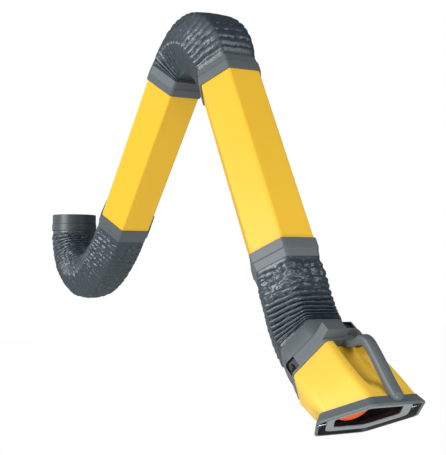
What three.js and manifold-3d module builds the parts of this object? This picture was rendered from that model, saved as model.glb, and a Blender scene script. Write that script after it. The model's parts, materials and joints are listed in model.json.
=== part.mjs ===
// Fume extraction arm: a round swivel connection, two hexagonal tubes joined by ribbed hoses
// over friction hinges, and a hexagonal hood with a handle.
// Millimetres, +Z up. The origin is the middle of the connection's upper rim, +X is the reach.
import * as THREE from 'three';
import { mergeVertices } from 'three/addons/utils/BufferGeometryUtils.js';
import Module from 'manifold-3d';

const wasm = await Module();
wasm.setup();

// Driving dimensions
const GAP = 0.3;
const RAD = Math.PI / 180;

// Tubes: hexagons with two flats facing along the arm's plane
const TUBE_FLATS = 160;
const TUBE_WALL = 2.5;
const TUBE_LENGTH = 525;
const TUBE_CORNER = 9;
const UPPER_LEAN = 43;
const UPPER_FOOT = [502, -23.5];
const FOREARM_LEAN = 29.7;
const FOREARM_TOP = [1203.6, 287.6];

// End collars: one half grips the tube, the other carries the hose
const COLLAR_LENGTH = 66;
const COLLAR_GRIP = 33;
const COLLAR_FLATS = 169;
const COLLAR_STEP = 165;
const SPIGOT_FLATS = 149;
const SPIGOT_BORE = 145;
const SPIGOT_LENGTH = 8;

// Round swivel connection
const DUCT_RADIUS = 80;
const DUCT_BORE = 75;
const CONNECTION_HEIGHT = 33;
const JOURNAL_RADIUS = 73;
const JOURNAL_BORE = 70;
const JOURNAL_END = -46;
const SWIVEL_RADIUS = 81.5;
const SWIVEL_END = -59;
const HOSE_SPIGOT_RADIUS = 73.2;
const HOSE_SPIGOT_BORE = 70.2;
const HOSE_SPIGOT_LENGTH = 17;
const CONNECTION_FLOOR = 3;
const SWIVEL_BORE = 78;
const SWIVEL_WALL = 4;
const SWIVEL_EDGE = 1.5;
const RING_RADIUS = 77.5;
const BEARING_SPAN = [-41.7, -37.9];
const RETAINER_SPAN = [JOURNAL_END, -42];
const ROUND_STEPS = 36;

// Hoses: crest and root of the ribs, the bore, the cuff at each end
const HOSE_CREST = 164;
const HOSE_ROOT = 156;
const HOSE_BORE = 152.8;
const HOSE_CUFF = 12;
const SHOULDER_RIBS = 32;
const ELBOW_RIBS = 18;
const WRIST_RIBS = 12;
const SHOULDER_PULL = [180, 345];
const ELBOW_PULL = [60, 178];
const WRIST_PULL = [75, 60];

// Friction hinges: plates in the arm's plane, a bolt across it
const TONGUE_THICK = 6;
const CHEEK_THICK = 4;
const DISC_THICK = 2.5;
const EYE_RADIUS = 26;
const STRAP_WIDTH = 50;
const BOLT_RADIUS = 6;
const HOLE_RADIUS = 6.7;
const NUT_FLATS = 19;
const NUT_HEIGHT = 10;
const HEAD_HEIGHT = 7.5;
const BOLT_TAIL = 15;
const WASHER_HEIGHT = 3;
const WASHER_RADIUS = 16;
const FLANGE_WIDTH = 24;
const FLANGE_THICK = 3;
const FLANGE_MARGIN = 6;
const SHOULDER_PIVOT = [180, -205];
const ELBOW_PIVOT = [1031.8, 427.4];
const WRIST_PIVOT = [1585.2, -379.4];

// Hood: the neck's axis leans out, the mouth is cut across it at a slant
const HOOD_LEAN = 56;
const HOOD_NECK = [1678, -442];
const NECK_FLATS = 187;
const HOOD_WALL = 3;
const HOOD_CORNER = 15;
const MOUTH_DEPTH = 164;
const MOUTH_SLANT = 35;
const MOUTH_FLATS = 237;
const MOUTH_NARROW = 0.96;
const FRAME_HEIGHT = 28;
const FRAME_TOP_FLATS = 213;
const SCOOP_DEPTH = 20;
const HOOD_SPIGOT_FLATS = 180;
const HOOD_SPIGOT_LENGTH = 14;
const FLANGE_HOLE = 70;
const GUARD_WIRE = 1.2;
const GUARD_FLATS = 200;
const GUARD_REACH = 111.2;
const GUARD_DEPTH = -4;

// Handle: distance out from the neck's axis and along it, then the bar's half section
const HANDLE_ROUTE = [[88, 4], [106, 12], [124, 27], [134, 48], [133, 70], [127, 107], [115, 152],
  [106, 190], [99, 222]];
const HANDLE_HALF = [11, 13];
const HANDLE_TIP = 12;

// Wrist cuff and neck ring
const CUFF_REAR = -95;
const CUFF_FRONT = -41;
const CUFF_REAR_FLATS = 165;
const CUFF_SWELL = 22;
const WRIST_FOOT = [-92, -62];
const WRIST_WAIST = -84;
const NECK_JOURNAL = 81;
const NECK_JOURNAL_END = -26;
const NECK_RING_FLATS = 194;
const NECK_SHELF = -20;
const NECK_SOCKET_FLATS = 181;
const NECK_RELIEF = 87;
const BLOCK_INNER = 84;
const BLOCK_OUTER = 109;
const BLOCK_SPAN = [-34, -4];
const RAMP_FOOT = -16;
const RAMP_TOP = -85;
const BLOCK_LENGTH = 64;
const BLOCK_BEVEL = [20, 9];
const RAMP_TURN = -53 * RAD;
const RAMP_MIDDLE = [-102.4, 0, -32.2];
const CLIP_POCKET = [20, 40, 22];
const FRONT_CLIP = [8, 32, 14];
const SIDE_POCKET = [44, 14, 24];
const SIDE_CLIP = [34, 7, 16];
const SIDE_POCKET_OUT = 112;
const SIDE_CLIP_OUT = 109;
const SIDE_CLIP_PLACE = [4, -24];

// Damper
const DAMPER_DEPTH = 70;
const DAMPER_RADIUS = 66;
const DAMPER_HALF = 1.5;
const DAMPER_HUB = 6;
const SHAFT_RADIUS = 4;
const SHAFT_LENGTH = 230;
const SHAFT_SHIFT = 16.5;
const BOSS = [9, 12];
const BOSS_Y = -97;
const LEVER = [10, 6, 40];
const LEVER_Y = 128;

// Finishes seen on the object
const finish = (color, roughness, metalness = 0) =>
  new THREE.MeshStandardMaterial({ color, roughness, metalness });
const YELLOW_ENAMEL = finish(0xf6c93f, 0.35);
const YELLOW_PLASTIC = finish(0xf9d14c, 0.4);
const GREY_PLASTIC = finish(0x7d838a, 0.5);
const DARK_PLASTIC = finish(0x4a5357, 0.4);
const HOSE_FABRIC = finish(0x3e4a52, 0.35);
const BLACK_PLASTIC = finish(0x161819, 0.5);
const ORANGE_PLASTIC = finish(0xd9653c, 0.45);
const ZINC_STEEL = finish(0xb8bcc0, 0.4, 0.9);
const FRICTION_LINING = finish(0x5b4636, 0.9);
const WHITE_NYLON = finish(0xe6e2d6, 0.6);

// Solids

function solid(geometry) {
  const bare = geometry.clone();
  bare.deleteAttribute('normal');
  bare.deleteAttribute('uv');
  const merged = mergeVertices(bare, 1e-4);
  const vertProperties = new Float32Array(merged.attributes.position.array);
  const triVerts = new Uint32Array(merged.index.array);
  return new wasm.Manifold(new wasm.Mesh({ numProp: 3, vertProperties, triVerts }));
}

function skin(manifold) {
  const mesh = manifold.getMesh();
  const geometry = new THREE.BufferGeometry();
  geometry.setAttribute('position', new THREE.BufferAttribute(mesh.vertProperties, 3));
  geometry.setIndex(new THREE.BufferAttribute(mesh.triVerts, 1));
  return geometry;
}

const join = (...pieces) => skin(pieces.map(solid).reduce((whole, piece) => whole.add(piece)));

const cut = (piece, ...tools) =>
  skin(tools.reduce((rest, tool) => rest.subtract(solid(tool)), solid(piece)));

// Closes a loop of rings, outer skin first and inner skin back, into one body
function loft(rings) {
  const count = rings[0].length;
  const faces = [];
  rings.forEach((_, ring) => {
    const next = (ring + 1) % rings.length;
    for (let here = 0; here < count; here += 1) {
      const beside = (here + 1) % count;
      const [a, b] = [ring * count + here, ring * count + beside];
      const [c, d] = [next * count + beside, next * count + here];
      faces.push(a, b, c, a, c, d);
    }
  });
  const geometry = new THREE.BufferGeometry().setFromPoints(rings.flat());
  geometry.setIndex(faces);
  return geometry;
}

// Caps a stack of rings at both ends into a solid
function stack(rings) {
  const middle = (ring) =>
    ring.reduce((sum, point) => sum.add(point), new THREE.Vector3()).divideScalar(ring.length);
  const cap = (ring) => ring.map(() => middle(ring));
  return loft([cap(rings[0]), ...rings, cap(rings[rings.length - 1])]);
}

// Outline of a hexagon with rounded corners, two of its flats across local X
function hexagon(flats, corner = TUBE_CORNER, steps = 2) {
  const reach = (flats / 2 - corner) / Math.cos(30 * RAD);
  const points = [];
  for (let side = 0; side < 6; side += 1) {
    const aim = (90 + 60 * side) * RAD;
    for (let step = 0; step <= steps; step += 1) {
      const turn = aim + (step / steps - 0.5) * 60 * RAD;
      const x = reach * Math.cos(aim) + corner * Math.cos(turn);
      const y = reach * Math.sin(aim) + corner * Math.sin(turn);
      points.push(new THREE.Vector2(x, y));
    }
  }
  return points;
}

const ringAt = (outline, z) => outline.map((point) => new THREE.Vector3(point.x, point.y, z));

const hexShell = (profile, corner) =>
  loft(profile.map(([flats, z]) => ringAt(hexagon(flats, corner), z)));

// Revolves a profile of radius and height, outer wall upwards, about local Z
function revolve(profile, steps = ROUND_STEPS) {
  const points = [...profile, profile[0]].map(([radius, z]) => new THREE.Vector2(radius, z));
  return new THREE.LatheGeometry(points, steps).rotateX(90 * RAD);
}

// Thickness of a flat outline drawn in local X and Z, from one Y to another
function plate(outline, from, to) {
  const settings = { depth: to - from, bevelEnabled: false, curveSegments: 5 };
  const sheet = new THREE.ExtrudeGeometry(outline, settings);
  return sheet.rotateX(90 * RAD).translate(0, to, 0);
}

function part(name, geometry, material) {
  const mesh = new THREE.Mesh(geometry, material);
  mesh.name = name;
  return mesh;
}

function placed(x, z, turn, ...children) {
  const group = new THREE.Group();
  group.position.set(x, 0, z);
  group.rotation.y = turn * RAD;
  group.add(...children.flat());
  return group;
}

// Swivel connection

function connection() {
  const floor = CONNECTION_FLOOR - CONNECTION_HEIGHT;
  const spigot = revolve([
    [DUCT_RADIUS, -CONNECTION_HEIGHT], [DUCT_RADIUS, 0], [DUCT_BORE, 0],
    [DUCT_BORE, floor], [JOURNAL_BORE, floor], [JOURNAL_BORE, JOURNAL_END],
    [JOURNAL_RADIUS, JOURNAL_END], [JOURNAL_RADIUS, -CONNECTION_HEIGHT],
  ]);
  const ring = ([low, high]) => revolve([
    [RING_RADIUS, low], [RING_RADIUS, high], [JOURNAL_RADIUS + GAP, high], [JOURNAL_RADIUS + GAP, low],
  ]);
  return [
    part('connection_spigot', spigot, DARK_PLASTIC),
    part('swivel_bearing_ring', ring(BEARING_SPAN), WHITE_NYLON),
    part('swivel_retaining_ring', ring(RETAINER_SPAN), ZINC_STEEL),
  ];
}

function hoseCollar() {
  const top = -CONNECTION_HEIGHT - GAP;
  const foot = SWIVEL_END - HOSE_SPIGOT_LENGTH;
  const [roof, floor] = [top - SWIVEL_WALL, SWIVEL_END + SWIVEL_WALL];
  const geometry = revolve([
    [HOSE_SPIGOT_RADIUS, foot], [HOSE_SPIGOT_RADIUS, SWIVEL_END], [SWIVEL_RADIUS, SWIVEL_END],
    [SWIVEL_RADIUS, top - SWIVEL_EDGE], [SWIVEL_RADIUS - SWIVEL_EDGE, top],
    [JOURNAL_RADIUS + GAP, top], [JOURNAL_RADIUS + GAP, roof], [SWIVEL_BORE, roof],
    [SWIVEL_BORE, floor], [HOSE_SPIGOT_BORE, floor], [HOSE_SPIGOT_BORE, foot],
  ]);
  return part('hose_collar', geometry, DARK_PLASTIC);
}

// Tube with its two end collars

function tube(name) {
  const outline = new THREE.Shape(hexagon(TUBE_FLATS));
  outline.holes.push(new THREE.Path(hexagon(TUBE_FLATS - 2 * TUBE_WALL, TUBE_CORNER - TUBE_WALL)));
  const depth = TUBE_LENGTH + 2 * COLLAR_GRIP;
  const geometry = new THREE.ExtrudeGeometry(outline, { depth, bevelEnabled: false });
  return part(name, geometry.translate(0, 0, -COLLAR_GRIP), YELLOW_ENAMEL);
}

// A collar on a tube end, which points along local Z
function collar(name) {
  const hollow = TUBE_FLATS + 2 * GAP;
  const geometry = hexShell([
    [COLLAR_FLATS - 2, 0], [COLLAR_FLATS, 1.5], [COLLAR_FLATS, COLLAR_GRIP - 1],
    [COLLAR_STEP, COLLAR_GRIP + 2], [COLLAR_STEP, COLLAR_LENGTH - 1.5],
    [COLLAR_STEP - 3, COLLAR_LENGTH], [SPIGOT_FLATS, COLLAR_LENGTH],
    [SPIGOT_FLATS, COLLAR_LENGTH + SPIGOT_LENGTH], [SPIGOT_BORE, COLLAR_LENGTH + SPIGOT_LENGTH],
    [SPIGOT_BORE, COLLAR_GRIP + GAP], [hollow, COLLAR_GRIP + GAP], [hollow, 0],
  ]);
  return part(name, geometry, GREY_PLASTIC);
}

// Friction hinges

// Outline in local X and Z: a foot across the duct, a strap along a curve, an eye at the pivot
function strapOutline(footHalf, footRear, footFront, curve, pivot) {
  const outline = new THREE.Shape();
  const sides = 6;
  const edge = (t, side) => {
    const point = curve.getPoint(t);
    const along = curve.getTangent(t);
    const half = (side * STRAP_WIDTH) / 2;
    return new THREE.Vector2(point.x + along.y * half, point.y - along.x * half);
  };
  const neck = 0.18;
  const tip = 0.9;
  const start = edge(neck, 1);
  const close = edge(neck, -1);
  outline.moveTo(-footHalf, footRear);
  outline.lineTo(footHalf, footRear);
  outline.lineTo(footHalf, footFront);
  outline.quadraticCurveTo(start.x, footFront, start.x, start.y);
  for (let step = 1; step <= sides; step += 1) {
    const point = edge(neck + ((tip - neck) * step) / sides, 1);
    outline.lineTo(point.x, point.y);
  }
  const end = curve.getTangent(1);
  const aim = Math.atan2(end.y, end.x);
  outline.absarc(pivot.x, pivot.y, EYE_RADIUS, aim - 80 * RAD, aim + 80 * RAD, false);
  for (let step = sides; step >= 0; step -= 1) {
    const point = edge(neck + ((tip - neck) * step) / sides, -1);
    outline.lineTo(point.x, point.y);
  }
  outline.quadraticCurveTo(close.x, footFront, -footHalf, footFront);
  const hole = new THREE.Path();
  hole.absarc(pivot.x, pivot.y, HOLE_RADIUS, 0, 360 * RAD, true);
  outline.holes.push(hole);
  return outline;
}

// Flanges bent from the foot's two ends, which are screwed to the duct's flats
function flanges(footHalf, footRear, footFront, from, to) {
  const width = Math.abs(to - from);
  const depth = footFront - footRear - FLANGE_MARGIN;
  const box = new THREE.BoxGeometry(FLANGE_THICK, width, depth);
  const shift = [(from + to) / 2, (footFront + footRear) / 2];
  const out = footHalf - FLANGE_THICK / 2;
  return [1, -1].map((side) => box.clone().translate(side * out, ...shift));
}

const TONGUE_HALF = TONGUE_THICK / 2;
const DISC_Y = TONGUE_HALF + GAP;
const CHEEK_Y = DISC_Y + DISC_THICK + GAP;
const WASHER_Y = CHEEK_Y + CHEEK_THICK + GAP;
const NUT_Y = WASHER_Y + WASHER_HEIGHT + GAP;
const FOOT_HALF = TUBE_FLATS / 2 - TUBE_WALL - GAP;
const FOOT_REAR = -52;
const FOOT_FRONT = -6;

function tubeStrap(pivot) {
  const [x, z] = pivot;
  const curve = new THREE.CubicBezierCurve(
    new THREE.Vector2(0, FOOT_FRONT), new THREE.Vector2(0, 0.45 * z),
    new THREE.Vector2(0.45 * x, 0.83 * z), new THREE.Vector2(x, z),
  );
  return strapOutline(FOOT_HALF, FOOT_REAR, FOOT_FRONT, curve, new THREE.Vector2(x, z));
}

function tongue(name, pivot) {
  const sheet = plate(tubeStrap(pivot), -TONGUE_HALF, TONGUE_HALF);
  const feet = flanges(FOOT_HALF, FOOT_REAR, FOOT_FRONT, 0, FLANGE_WIDTH);
  return part(name, join(sheet, ...feet), ZINC_STEEL);
}

function cheeks(joint, outline, footHalf, footRear, footFront) {
  return [['left', -1], ['right', 1]].map(([side, sign]) => {
    const [near, far] = [CHEEK_Y, CHEEK_Y + CHEEK_THICK].map((y) => sign * y).sort((a, b) => a - b);
    const sheet = plate(outline, near, far);
    const bend = sign * (CHEEK_Y + 1);
    const feet = flanges(footHalf, footRear, footFront, bend, bend + sign * FLANGE_WIDTH);
    return part(`${joint}_cheek_${side}`, join(sheet, ...feet), ZINC_STEEL);
  });
}

// Bolt, nut, spring washer and two friction discs about local Y
function pivotSet(joint) {
  const along = (geometry, y) => geometry.translate(0, y, 0);
  const bore = HOLE_RADIUS;
  const across = NUT_FLATS / 2 / Math.cos(30 * RAD);
  const tip = NUT_Y + BOLT_TAIL;
  const shank = new THREE.CylinderGeometry(BOLT_RADIUS, BOLT_RADIUS, tip + WASHER_Y, 12);
  const head = new THREE.CylinderGeometry(across, across, HEAD_HEIGHT, 6);
  const bolt = join(along(shank, (tip - WASHER_Y) / 2), along(head, -WASHER_Y - HEAD_HEIGHT / 2));
  const drill = new THREE.CylinderGeometry(bore, bore, 60, 12);
  const blank = new THREE.CylinderGeometry(across, across, NUT_HEIGHT, 6);
  const nut = cut(along(blank, NUT_Y + NUT_HEIGHT / 2), drill);
  const turned = (profile) =>
    new THREE.LatheGeometry([...profile, profile[0]].map((p) => new THREE.Vector2(...p)), 16);
  const washer = turned([
    [WASHER_RADIUS, WASHER_Y], [WASHER_RADIUS, WASHER_Y + 1], [bore + 2, WASHER_Y + WASHER_HEIGHT],
    [bore, WASHER_Y + WASHER_HEIGHT], [bore, WASHER_Y + WASHER_HEIGHT - 1],
    [WASHER_RADIUS - 1.5, WASHER_Y],
  ]);
  const disc = (low) => turned([
    [EYE_RADIUS - 2, low], [EYE_RADIUS - 2, low + DISC_THICK], [bore, low + DISC_THICK], [bore, low],
  ]);
  return [
    part(`${joint}_pivot_bolt`, bolt, ZINC_STEEL),
    part(`${joint}_pivot_nut`, nut, ZINC_STEEL),
    part(`${joint}_spring_washer`, washer, ZINC_STEEL),
    part(`${joint}_friction_disc_left`, disc(-DISC_Y - DISC_THICK), FRICTION_LINING),
    part(`${joint}_friction_disc_right`, disc(DISC_Y), FRICTION_LINING),
  ];
}

// Swan-necked bracket that carries the arm, drawn with local Z pointing down
function shoulderBracket() {
  const [x, z] = [SHOULDER_PIVOT[0], -SHOULDER_PIVOT[1]];
  const half = HOSE_SPIGOT_BORE - 1.3;
  const [rear, front] = [-SWIVEL_END - 2, -SWIVEL_END + 20];
  const curve = new THREE.CubicBezierCurve(
    new THREE.Vector2(0, front), new THREE.Vector2(0, 0.8 * z),
    new THREE.Vector2(0.42 * x, 1.04 * z), new THREE.Vector2(x, z),
  );
  const outline = strapOutline(half, rear, front, curve, new THREE.Vector2(x, z));
  const sheet = plate(outline, -TONGUE_HALF, TONGUE_HALF);
  const feet = flanges(half, rear, front, -10, 10);
  const bracket = part('shoulder_bracket', join(sheet, ...feet), ZINC_STEEL);
  bracket.rotation.x = 180 * RAD;
  return bracket;
}

// Ribbed hoses

// Ring of a hose: hexagonal where blend is 1, round where it is 0
function hoseRing(centre, along, flats, blend) {
  const side = new THREE.Vector3(0, 1, 0);
  const across = new THREE.Vector3().crossVectors(side, along);
  const points = [];
  for (let step = 0; step < 12; step += 1) {
    const turn = step * 30 * RAD;
    const corner = step % 2 ? 1 / Math.cos(30 * RAD) - 0.02 : 1;
    const radius = (flats / 2) * (1 + blend * (corner - 1));
    const point = centre.clone().addScaledVector(across, radius * Math.cos(turn));
    points.push(point.addScaledVector(side, radius * Math.sin(turn)));
  }
  return points;
}

// A cuff, crests and roots, another cuff, then the bore back with a ring every fifth rib
function hose(name, start, startLean, pulls, end, endLean, ribs, startBlend) {
  const at = ([x, z]) => new THREE.Vector3(x, 0, z);
  const heading = (lean) => new THREE.Vector3(Math.sin(lean * RAD), 0, Math.cos(lean * RAD));
  const curve = new THREE.CubicBezierCurve3(
    at(start), at(start).addScaledVector(heading(startLean), pulls[0]),
    at(end).addScaledVector(heading(endLean), -pulls[1]), at(end),
  );
  const length = curve.getLength();
  const ring = (distance, flats) => {
    const t = Math.min(Math.max(distance / length, 0), 1);
    const blend = THREE.MathUtils.lerp(startBlend, 1, t);
    return hoseRing(curve.getPointAt(t), curve.getTangentAt(t), flats, blend);
  };
  const pitch = (length - 2 * HOSE_CUFF) / ribs;
  const outer = [ring(0, HOSE_ROOT)];
  const inner = [ring(0, HOSE_BORE)];
  for (let rib = 0; rib < ribs; rib += 1) {
    const from = HOSE_CUFF + rib * pitch;
    outer.push(ring(from, HOSE_ROOT), ring(from + pitch / 2, HOSE_CREST));
    if (rib % 5 === 0) {
      inner.push(ring(from, HOSE_BORE));
    }
  }
  outer.push(ring(length - HOSE_CUFF, HOSE_ROOT), ring(length, HOSE_ROOT));
  inner.push(ring(length - HOSE_CUFF, HOSE_BORE), ring(length, HOSE_BORE));
  return part(name, loft([...outer, ...inner.reverse()]), HOSE_FABRIC);
}

// Wrist cuff and neck ring, about the neck's axis

function wristCuff() {
  const share = (z) => (z - CUFF_REAR) / (CUFF_FRONT - CUFF_REAR);
  const swell = (z) => CUFF_REAR_FLATS + CUFF_SWELL * Math.sin(90 * share(z) * RAD);
  const outer = [0, 0.25, 0.5, 0.75, 1].map((t) => CUFF_REAR + t * (CUFF_FRONT - CUFF_REAR));
  const rear = CUFF_REAR - SPIGOT_LENGTH;
  const body = hexShell([
    [SPIGOT_FLATS, rear], [SPIGOT_FLATS, CUFF_REAR], ...outer.map((z) => [swell(z), z]),
    [SPIGOT_BORE, CUFF_FRONT], [SPIGOT_BORE, rear],
  ], HOOD_CORNER);
  const journal = revolve([
    [NECK_JOURNAL, CUFF_FRONT - 2], [NECK_JOURNAL, NECK_JOURNAL_END],
    [NECK_JOURNAL - 3, NECK_JOURNAL_END], [NECK_JOURNAL - 3, CUFF_FRONT - 2],
  ]);
  return part('wrist_cuff', join(body, journal), GREY_PLASTIC);
}

function wristCheekOutline() {
  const [x, z] = [0, CUFF_REAR - 17];
  const outline = new THREE.Shape();
  const half = SPIGOT_BORE / 2 - GAP;
  const [rear, front] = WRIST_FOOT;
  outline.moveTo(half, rear);
  outline.lineTo(half, front);
  outline.quadraticCurveTo(30, WRIST_WAIST, x, WRIST_WAIST);
  outline.quadraticCurveTo(-30, WRIST_WAIST, -half, front);
  outline.lineTo(-half, rear);
  outline.quadraticCurveTo(-40, rear, -EYE_RADIUS, z);
  outline.absarc(x, z, EYE_RADIUS, 180 * RAD, 360 * RAD, false);
  outline.quadraticCurveTo(40, rear, half, rear);
  const hole = new THREE.Path();
  hole.absarc(x, z, HOLE_RADIUS, 0, 360 * RAD, true);
  outline.holes.push(hole);
  return outline;
}

// Profile of the block on the neck ring's front, drawn in local X and Z
function neckBlock() {
  const outline = new THREE.Shape();
  const [rear, front] = BLOCK_SPAN;
  outline.moveTo(-BLOCK_INNER, rear);
  outline.lineTo(-BLOCK_INNER, front);
  outline.lineTo(-BLOCK_OUTER, front);
  outline.lineTo(-BLOCK_OUTER, RAMP_FOOT);
  outline.lineTo(RAMP_TOP, rear);
  const [bevelThickness, bevelSize] = BLOCK_BEVEL;
  const settings = { depth: BLOCK_LENGTH, bevelThickness, bevelSize, bevelSegments: 1 };
  const block = new THREE.ExtrudeGeometry(outline, settings);
  return block.rotateX(90 * RAD).translate(0, BLOCK_LENGTH / 2, 0);
}

function neckRing() {
  const front = -GAP;
  const rear = CUFF_FRONT + 0.6;
  const body = hexShell([
    [NECK_RING_FLATS - 8, rear], [NECK_RING_FLATS, rear + 10], [NECK_RING_FLATS, front],
    [170, front], [170, rear],
  ], HOOD_CORNER);
  const bore = revolve([
    [NECK_JOURNAL + 0.5, rear - 1], [NECK_JOURNAL + 0.5, NECK_JOURNAL_END - 1],
    [NECK_RELIEF, NECK_JOURNAL_END - 1], [NECK_RELIEF, NECK_SHELF], [20, NECK_SHELF], [20, rear - 1],
  ]);
  const socketHex = hexagon(NECK_SOCKET_FLATS, HOOD_CORNER - 3);
  const socket = stack([NECK_SHELF - 0.5, 1].map((z) => ringAt(socketHex, z)));
  const keep = stack([rear, front].map((z) => ringAt(hexagon(300, 10), z)));
  const block = skin(solid(neckBlock()).intersect(solid(keep)));
  const pocket = new THREE.BoxGeometry(...CLIP_POCKET).rotateY(RAMP_TURN).translate(...RAMP_MIDDLE);
  const [x, z] = SIDE_CLIP_PLACE;
  const sides = [1, -1].map((sign) =>
    new THREE.BoxGeometry(...SIDE_POCKET).translate(x, sign * SIDE_POCKET_OUT, z));
  return part('neck_ring', cut(join(body, block), bore, socket, pocket, ...sides), GREY_PLASTIC);
}

function neckClips() {
  const front = new THREE.BoxGeometry(...FRONT_CLIP).translate(5.7, 0, 0).rotateY(RAMP_TURN)
    .translate(...RAMP_MIDDLE);
  const [x, z] = SIDE_CLIP_PLACE;
  const side = (sign) => new THREE.BoxGeometry(...SIDE_CLIP).translate(x, sign * SIDE_CLIP_OUT, z);
  return [
    part('neck_clip_front', front, BLACK_PLASTIC),
    part('neck_clip_left', side(-1), BLACK_PLASTIC),
    part('neck_clip_right', side(1), BLACK_PLASTIC),
  ];
}

// Hood shell

const mouthTurn = new THREE.Matrix4().makeRotationY(MOUTH_SLANT * RAD)
  .setPosition(0, 0, MOUTH_DEPTH);

// Outline with extra points along the front flat, where the scoop is pressed in
function hoodOutline(flats, scoop, narrow) {
  const corners = hexagon(flats, HOOD_CORNER);
  const across = 8;
  return corners.flatMap((point, index) => {
    const moved = new THREE.Vector2(point.x, point.y * narrow);
    const next = corners[(index + 1) % corners.length];
    if (index !== 5) {
      return [moved];
    }
    const run = [moved];
    for (let step = 1; step < across; step += 1) {
      const s = step / across;
      const depth = scoop * Math.sin(s * 180 * RAD) ** 1.2;
      const y = THREE.MathUtils.lerp(point.y, next.y, s) * narrow;
      run.push(new THREE.Vector2(THREE.MathUtils.lerp(point.x, next.x, s) + depth, y));
    }
    return run;
  });
}

// Ring part of the way from the neck to the slanted mouth
function hoodRing(t, inset, end) {
  const flats = THREE.MathUtils.lerp(NECK_FLATS, end, t) - 2 * inset;
  const scoop = SCOOP_DEPTH * Math.sin(t * 180 * RAD) ** 0.6;
  const outline = hoodOutline(flats, scoop, THREE.MathUtils.lerp(1, MOUTH_NARROW, t));
  const neck = ringAt(outline, 0);
  const mouth = ringAt(outline, -FRAME_HEIGHT).map((point) => point.applyMatrix4(mouthTurn));
  return neck.map((point, index) => point.lerp(mouth[index], t));
}

const SHELL_STEPS = [0, 0.1, 0.25, 0.4, 0.55, 0.7, 0.85, 0.94, 1];
const SHELL_END = FRAME_TOP_FLATS - 5;

function hoodShell() {
  const lip = (inset) => ringAt(hoodOutline(SHELL_END - 2 * inset, 0, MOUTH_NARROW), -14)
    .map((point) => point.applyMatrix4(mouthTurn));
  const spigot = (flats, z) => ringAt(hoodOutline(flats, 0, 1), z);
  const bore = HOOD_SPIGOT_FLATS - 2 * HOOD_WALL;
  const outer = SHELL_STEPS.map((t) => hoodRing(t, 0, SHELL_END));
  const inner = SHELL_STEPS.map((t) => hoodRing(t, HOOD_WALL, SHELL_END)).reverse();
  const rings = [
    spigot(HOOD_SPIGOT_FLATS, -HOOD_SPIGOT_LENGTH), spigot(HOOD_SPIGOT_FLATS, 0), ...outer, lip(0),
    lip(HOOD_WALL), ...inner, spigot(bore, -4), spigot(bore, -HOOD_SPIGOT_LENGTH),
  ];
  const [bossRadius, bossHeight] = BOSS;
  const boss = new THREE.CylinderGeometry(bossRadius, bossRadius, bossHeight, 16)
    .translate(0, BOSS_Y, DAMPER_DEPTH);
  const hole = SHAFT_RADIUS + 0.4;
  const drill = new THREE.CylinderGeometry(hole, hole, 220, 12).translate(0, 11, DAMPER_DEPTH);
  return part('hood_shell', cut(join(loft(rings), boss), drill), YELLOW_PLASTIC);
}

// Mouth, drawn about its own middle with local Z pointing out of it

const mouthRing = (flats, z) => ringAt(hoodOutline(flats, 0, MOUTH_NARROW), z);

function mouthFrame() {
  const rings = [
    [FRAME_TOP_FLATS, -FRAME_HEIGHT], [MOUTH_FLATS, -4], [MOUTH_FLATS, 0], [MOUTH_FLATS - 10, 0],
    [MOUTH_FLATS - 18, -12], [SHELL_END + 1, -12.5], [SHELL_END + 1, -FRAME_HEIGHT],
  ].map(([flats, z]) => mouthRing(flats, z));
  return part('mouth_frame', loft(rings), GREY_PLASTIC);
}

function innerFlange() {
  const points = 36;
  const polar = (radiusAt, z, narrow) => Array.from({ length: points }, (_, step) => {
    const turn = (step * 360 * RAD) / points;
    const radius = radiusAt(turn);
    return new THREE.Vector3(radius * Math.cos(turn), radius * Math.sin(turn) * narrow, z);
  });
  const hex = (flats) => (turn) => {
    const off = ((turn / RAD + 30) % 60) - 30;
    return flats / 2 / Math.cos(off * RAD);
  };
  const round = (radius) => () => radius;
  const rings = [
    polar(hex(196), -17, MOUTH_NARROW), polar(hex(193), -7, MOUTH_NARROW),
    polar(hex(178), -12, MOUTH_NARROW), polar(round(FLANGE_HOLE), -14, 1),
    polar(round(FLANGE_HOLE), -17, 1),
  ];
  return part('inner_flange', loft(rings), GREY_PLASTIC);
}

// A wire hexagon over the flange, held to the frame by a short post on each side
function mouthGuard() {
  const half = GUARD_FLATS / 2;
  const edge = GUARD_FLATS / Math.sqrt(3) + GUARD_WIRE;
  const post = GUARD_REACH - half;
  const wire = (length) => new THREE.CylinderGeometry(GUARD_WIRE, GUARD_WIRE, length, 6);
  const wires = [0, 60, 120, 180, 240, 300].flatMap((turn) => [
    wire(edge).translate(half, 0, GUARD_DEPTH).rotateZ(turn * RAD),
    wire(post).rotateZ(90 * RAD).translate(half + post / 2, 0, GUARD_DEPTH).rotateZ(turn * RAD),
  ]);
  return part('mouth_guard', join(...wires).scale(1, MOUTH_NARROW, 1), ZINC_STEEL);
}

// Handle along the hood's front, in the arm's plane

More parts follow.
